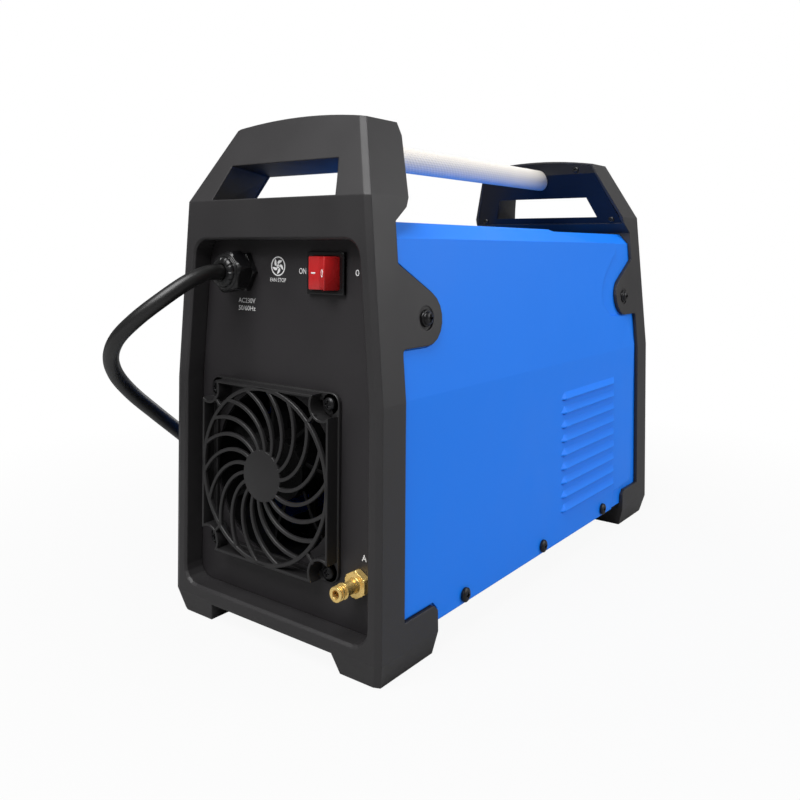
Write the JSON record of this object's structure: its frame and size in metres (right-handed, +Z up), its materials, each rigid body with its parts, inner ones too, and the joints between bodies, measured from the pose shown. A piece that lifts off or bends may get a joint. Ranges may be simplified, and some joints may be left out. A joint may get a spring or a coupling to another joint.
{
  "type": "plasma cutter power unit",
  "caption": "Portable plasma cutter power unit: folded sheet cover between moulded end frames, tube handle, rear fan, rocker switch, mains lead with plug and air inlet.",
  "frame": {"origin": "middle of the footprint of the feet, on the floor", "axes": "+Z up, +Y toward the rear panel with the fan, switch and mains lead, +X toward the side where the lead leaves"},
  "size_m": [0.3514, 0.4949, 0.3445],
  "materials": {
    "end_plastic": "black moulded plastic with a fine satin grain",
    "blue_sheet": "smooth bright blue paint",
    "plain_sheet": "plain zinc-plated sheet",
    "black_sheet": "fine matt black paint",
    "white_tube": "pale finely knurled tube",
    "dark_plastic": "dark plastic with a slight sheen",
    "rocker_red": "red translucent-looking plastic",
    "cord_rubber": "smooth black cable jacket",
    "brass": "turned bright brass",
    "pin_steel": "bright plated pins",
    "display": "smoked display window",
    "lens": "moulded lamp lens",
    "circuit_board": "green laminate",
    "sink_aluminium": "plain extruded metal",
    "can_blue": "sleeved can",
    "ferrite": "dull sintered core",
    "winding": "varnished copper wire",
    "hose": "smooth air hose",
    "screw_black": "blackened steel"
  },
  "bodies": {
    "case": {"rear_frame": "end_plastic", "front_frame": "end_plastic", "rear_handle_plate": "end_plastic", "front_handle_plate": "end_plastic", "handle_tube": "white_tube", "cover": "blue_sheet", "base_tray": "plain_sheet", "rear_panel": "black_sheet", "front_panel": "black_sheet", "fan_frame": "dark_plastic", "fan_guard": "end_plastic", "guard_screw_1": "screw_black", "guard_screw_2": "screw_black", "guard_screw_3": "screw_black", "guard_screw_4": "screw_black", "switch_body": "dark_plastic", "gland_body": "dark_plastic", "gland_nut": "dark_plastic", "gland_locknut": "dark_plastic", "mains_cord": "cord_rubber", "cord_coil": "cord_rubber", "cord_tail": "cord_rubber", "plug_relief": "cord_rubber", "plug_body": "dark_plastic", "plug_pin_left": "pin_steel", "plug_pin_right": "pin_steel", "air_nipple": "brass", "side_screw_left_1": "screw_black", "side_screw_left_2": "screw_black", "side_screw_left_3": "screw_black", "lug_screw_rear_left": "screw_black", "lug_screw_front_left": "screw_black", "side_screw_right_1": "screw_black", "side_screw_right_2": "screw_black", "side_screw_right_3": "screw_black", "lug_screw_rear_right": "screw_black", "lug_screw_front_right": "screw_black", "display_window": "display", "power_lamp": "lens", "fault_lamp": "lens", "torch_socket": "brass", "earth_socket": "dark_plastic", "main_board": "circuit_board", "control_board": "circuit_board", "heatsink_left": "sink_aluminium", "heatsink_right": "sink_aluminium", "power_module_left": "dark_plastic", "power_module_right": "dark_plastic", "capacitor_left": "can_blue", "capacitor_right": "can_blue", "transformer_core": "ferrite", "transformer_winding": "winding", "output_choke": "winding", "solenoid_valve": "sink_aluminium", "air_hose": "hose"},
    "rocker": {"switch_rocker": "rocker_red"},
    "rotor": {"fan_rotor": "dark_plastic"},
    "knob": {"current_knob": "dark_plastic"},
    "left_button": {"button_left": "dark_plastic"},
    "right_button": {"button_right": "dark_plastic"}
  },
  "joints": [
    {"name": "rocker_hinge", "type": "hinge", "parent": "case", "child": "rocker", "pos_m": [-0.037, 0.1982, 0.2415], "axis": [0, 0, 1], "range_deg": [0, 32]},
    {"name": "fan_spin", "type": "hinge", "parent": "case", "child": "rotor", "pos_m": [0.0102, 0.18, 0.1075], "axis": [0, 1, 0], "continuous": true},
    {"name": "knob_turn", "type": "hinge", "parent": "case", "child": "knob", "pos_m": [0, -0.2, 0.15], "axis": [0, 1, 0], "range_deg": [-135, 135]},
    {"name": "left_button_press", "type": "slide", "parent": "case", "child": "left_button", "axis": [0, 1, 0], "range_m": [0, 0.0015], "stiffness_N_per_m": 500, "springref_m": -0.002},
    {"name": "right_button_press", "type": "slide", "parent": "case", "child": "right_button", "axis": [0, 1, 0], "range_m": [0, 0.0015], "stiffness_N_per_m": 500, "springref_m": -0.002}
  ]
}
